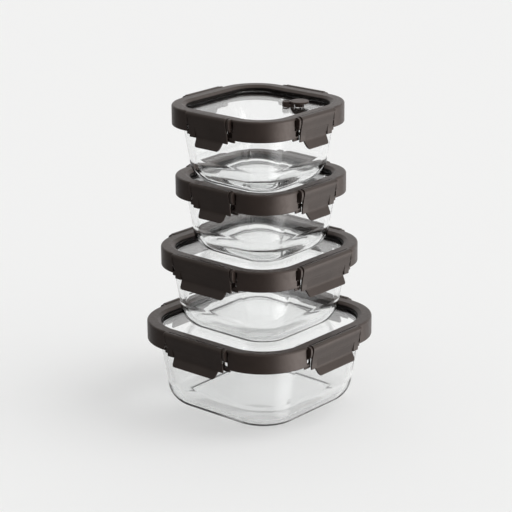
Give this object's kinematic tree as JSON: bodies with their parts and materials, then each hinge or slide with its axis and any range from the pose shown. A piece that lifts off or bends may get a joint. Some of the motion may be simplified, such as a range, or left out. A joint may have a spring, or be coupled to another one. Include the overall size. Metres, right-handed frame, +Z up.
{
  "type": "stacked glass storage containers",
  "caption": "Tower of square glass food containers with dark latching lids, glass lid panes, silicone seals and a steam vent in the top lid.",
  "frame": {"origin": "centre of the lowest bowl's flat base, which stands on the table", "axes": "+Z up through the stack; -Y towards the front latches; +X towards the right latches"},
  "size_m": [0.1854, 0.1854, 0.2832],
  "materials": {
    "bowl_glass": "clear polished borosilicate glass",
    "pane_glass": "clear flat polished glass",
    "frame_plastic": "satin dark brown moulded plastic",
    "latch_plastic": "satin dark brown moulded plastic",
    "gasket_silicone": "soft dark silicone",
    "vent_silicone": "soft dark brown silicone"
  },
  "bodies": {
    "large_container": {"large_bowl": "bowl_glass"},
    "large_lid": {"large_lid_frame": "frame_plastic", "large_lid_pane": "pane_glass", "large_gasket": "gasket_silicone"},
    "large_latch_front": {"large_latch_front": "latch_plastic"},
    "large_latch_right": {"large_latch_right": "latch_plastic"},
    "large_latch_back": {"large_latch_back": "latch_plastic"},
    "large_latch_left": {"large_latch_left": "latch_plastic"},
    "medium_container": {"medium_bowl": "bowl_glass"},
    "medium_lid": {"medium_lid_frame": "frame_plastic", "medium_lid_pane": "pane_glass", "medium_gasket": "gasket_silicone"},
    "medium_latch_front": {"medium_latch_front": "latch_plastic"},
    "medium_latch_right": {"medium_latch_right": "latch_plastic"},
    "medium_latch_back": {"medium_latch_back": "latch_plastic"},
    "medium_latch_left": {"medium_latch_left": "latch_plastic"},
    "small_lower_container": {"small_lower_bowl": "bowl_glass"},
    "small_lower_lid": {"small_lower_lid_frame": "frame_plastic", "small_lower_lid_pane": "pane_glass", "small_lower_gasket": "gasket_silicone"},
    "small_lower_latch_front": {"small_lower_latch_front": "latch_plastic"},
    "small_lower_latch_right": {"small_lower_latch_right": "latch_plastic"},
    "small_lower_latch_back": {"small_lower_latch_back": "latch_plastic"},
    "small_lower_latch_left": {"small_lower_latch_left": "latch_plastic"},
    "small_upper_container": {"small_upper_bowl": "bowl_glass"},
    "small_upper_lid": {"small_upper_lid_frame": "frame_plastic", "small_upper_lid_pane": "pane_glass", "small_upper_gasket": "gasket_silicone", "vent_base": "vent_silicone"},
    "small_upper_latch_front": {"small_upper_latch_front": "latch_plastic"},
    "small_upper_latch_right": {"small_upper_latch_right": "latch_plastic"},
    "small_upper_latch_back": {"small_upper_latch_back": "latch_plastic"},
    "small_upper_latch_left": {"small_upper_latch_left": "latch_plastic"},
    "vent_flap": {"vent_flap": "vent_silicone"}
  },
  "joints": [
    {"name": "large_lid_lift", "type": "slide", "parent": "large_container", "child": "large_lid", "axis": [0, 0, 1], "range_m": [0, 0.06]},
    {"name": "large_front_latch_hinge", "type": "hinge", "parent": "large_lid", "child": "large_latch_front", "pos_m": [0, -0.0892, 0.0777], "axis": [-1, 0, 0], "range_deg": [0, 110]},
    {"name": "large_right_latch_hinge", "type": "hinge", "parent": "large_lid", "child": "large_latch_right", "pos_m": [0.0892, 0, 0.0777], "axis": [0, -1, 0], "range_deg": [0, 110]},
    {"name": "large_back_latch_hinge", "type": "hinge", "parent": "large_lid", "child": "large_latch_back", "pos_m": [0, 0.0892, 0.0777], "axis": [1, 0, 0], "range_deg": [0, 110]},
    {"name": "large_left_latch_hinge", "type": "hinge", "parent": "large_lid", "child": "large_latch_left", "pos_m": [-0.0892, 0, 0.0777], "axis": [0, 1, 0], "range_deg": [0, 110]},
    {"name": "medium_unstack", "type": "slide", "parent": "large_lid", "child": "medium_container", "axis": [0, 0, 1], "range_m": [0, 0.06]},
    {"name": "medium_lid_lift", "type": "slide", "parent": "medium_container", "child": "medium_lid", "axis": [0, 0, 1], "range_m": [0, 0.06]},
    {"name": "medium_front_latch_hinge", "type": "hinge", "parent": "medium_lid", "child": "medium_latch_front", "pos_m": [0.0003, -0.0771, 0.1488], "axis": [-1, 0, 0], "range_deg": [0, 110]},
    {"name": "medium_right_latch_hinge", "type": "hinge", "parent": "medium_lid", "child": "medium_latch_right", "pos_m": [0.0777, 0.0003, 0.1488], "axis": [0, -1, 0], "range_deg": [0, 110]},
    {"name": "medium_back_latch_hinge", "type": "hinge", "parent": "medium_lid", "child": "medium_latch_back", "pos_m": [0.0003, 0.0777, 0.1488], "axis": [1, 0, 0], "range_deg": [0, 110]},
    {"name": "medium_left_latch_hinge", "type": "hinge", "parent": "medium_lid", "child": "medium_latch_left", "pos_m": [-0.0771, 0.0003, 0.1488], "axis": [0, 1, 0], "range_deg": [0, 110]},
    {"name": "small_lower_unstack", "type": "slide", "parent": "medium_lid", "child": "small_lower_container", "axis": [0, 0, 1], "range_m": [0, 0.06]},
    {"name": "small_lower_lid_lift", "type": "slide", "parent": "small_lower_container", "child": "small_lower_lid", "axis": [0, 0, 1], "range_m": [0, 0.06]},
    {"name": "small_lower_front_latch_hinge", "type": "hinge", "parent": "small_lower_lid", "child": "small_lower_latch_front", "pos_m": [0.0004, -0.0637, 0.2144], "axis": [-1, 0, 0], "range_deg": [0, 110]},
    {"name": "small_lower_right_latch_hinge", "type": "hinge", "parent": "small_lower_lid", "child": "small_lower_latch_right", "pos_m": [0.0671, 0.003, 0.2144], "axis": [0, -1, 0], "range_deg": [0, 110]},
    {"name": "small_lower_back_latch_hinge", "type": "hinge", "parent": "small_lower_lid", "child": "small_lower_latch_back", "pos_m": [0.0004, 0.0697, 0.2144], "axis": [1, 0, 0], "range_deg": [0, 110]},
    {"name": "small_lower_left_latch_hinge", "type": "hinge", "parent": "small_lower_lid", "child": "small_lower_latch_left", "pos_m": [-0.0663, 0.003, 0.2144], "axis": [0, 1, 0], "range_deg": [0, 110]},
    {"name": "small_upper_unstack", "type": "slide", "parent": "small_lower_lid", "child": "small_upper_container", "axis": [0, 0, 1], "range_m": [0, 0.06]},
    {"name": "small_upper_lid_lift", "type": "slide", "parent": "small_upper_container", "child": "small_upper_lid", "axis": [0, 0, 1], "range_m": [0, 0.06]},
    {"name": "small_upper_front_latch_hinge", "type": "hinge", "parent": "small_upper_lid", "child": "small_upper_latch_front", "pos_m": [0.0002, -0.0665, 0.28], "axis": [-1, 0, 0], "range_deg": [0, 110]},
    {"name": "small_upper_right_latch_hinge", "type": "hinge", "parent": "small_upper_lid", "child": "small_upper_latch_right", "pos_m": [0.0669, 0.0002, 0.28], "axis": [0, -1, 0], "range_deg": [0, 110]},
    {"name": "small_upper_back_latch_hinge", "type": "hinge", "parent": "small_upper_lid", "child": "small_upper_latch_back", "pos_m": [0.0002, 0.0669, 0.28], "axis": [1, 0, 0], "range_deg": [0, 110]},
    {"name": "small_upper_left_latch_hinge", "type": "hinge", "parent": "small_upper_lid", "child": "small_upper_latch_left", "pos_m": [-0.0665, 0.0002, 0.28], "axis": [0, 1, 0], "range_deg": [0, 110]},
    {"name": "vent_flap_hinge", "type": "hinge", "parent": "small_upper_lid", "child": "vent_flap", "pos_m": [0.01782, 0.0198, 0.2807], "axis": [0.6157, -0.788, 0], "range_deg": [0, 90]}
  ]
}
